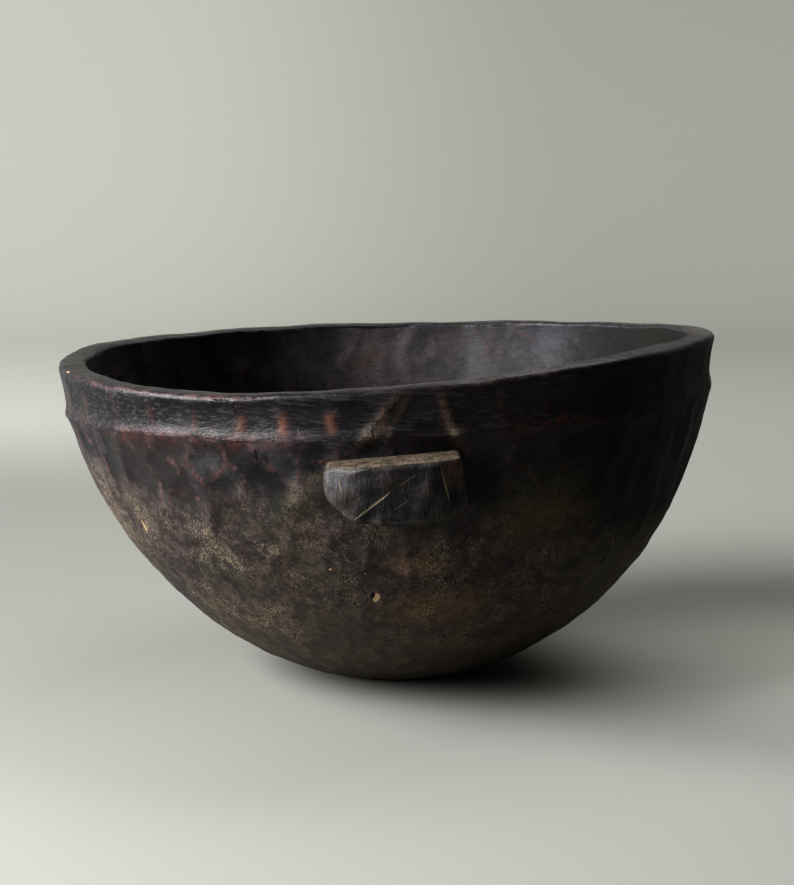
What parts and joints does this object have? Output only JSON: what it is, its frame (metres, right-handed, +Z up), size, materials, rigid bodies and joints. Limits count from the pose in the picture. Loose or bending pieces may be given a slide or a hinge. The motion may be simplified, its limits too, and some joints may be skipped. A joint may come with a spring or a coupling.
{
  "type": "carved wooden bowl",
  "caption": "Deep round bowl carved from one block of dark wood, with a plain rim band above a small ledge and blocky grip lugs below it.",
  "frame": {"origin": "middle of the flat base, on the surface that the bowl stands on; also the bottom centre of the bounding box", "axes": "+Z up along the bowl's height, -Y towards the front grip lug, +X to the right seen from the front"},
  "size_m": [0.3445, 0.38, 0.1811],
  "materials": {
    "wood_wall": "worn dark patina, satin",
    "wood_band": "worn dark patina, satin",
    "wood_lug": "worn dark patina, satin"
  },
  "bodies": {
    "root": {"bowl_wall": "wood_wall", "rim_band": "wood_band", "front_lug": "wood_lug", "rear_lug": "wood_lug"}
  },
  "joints": []
}
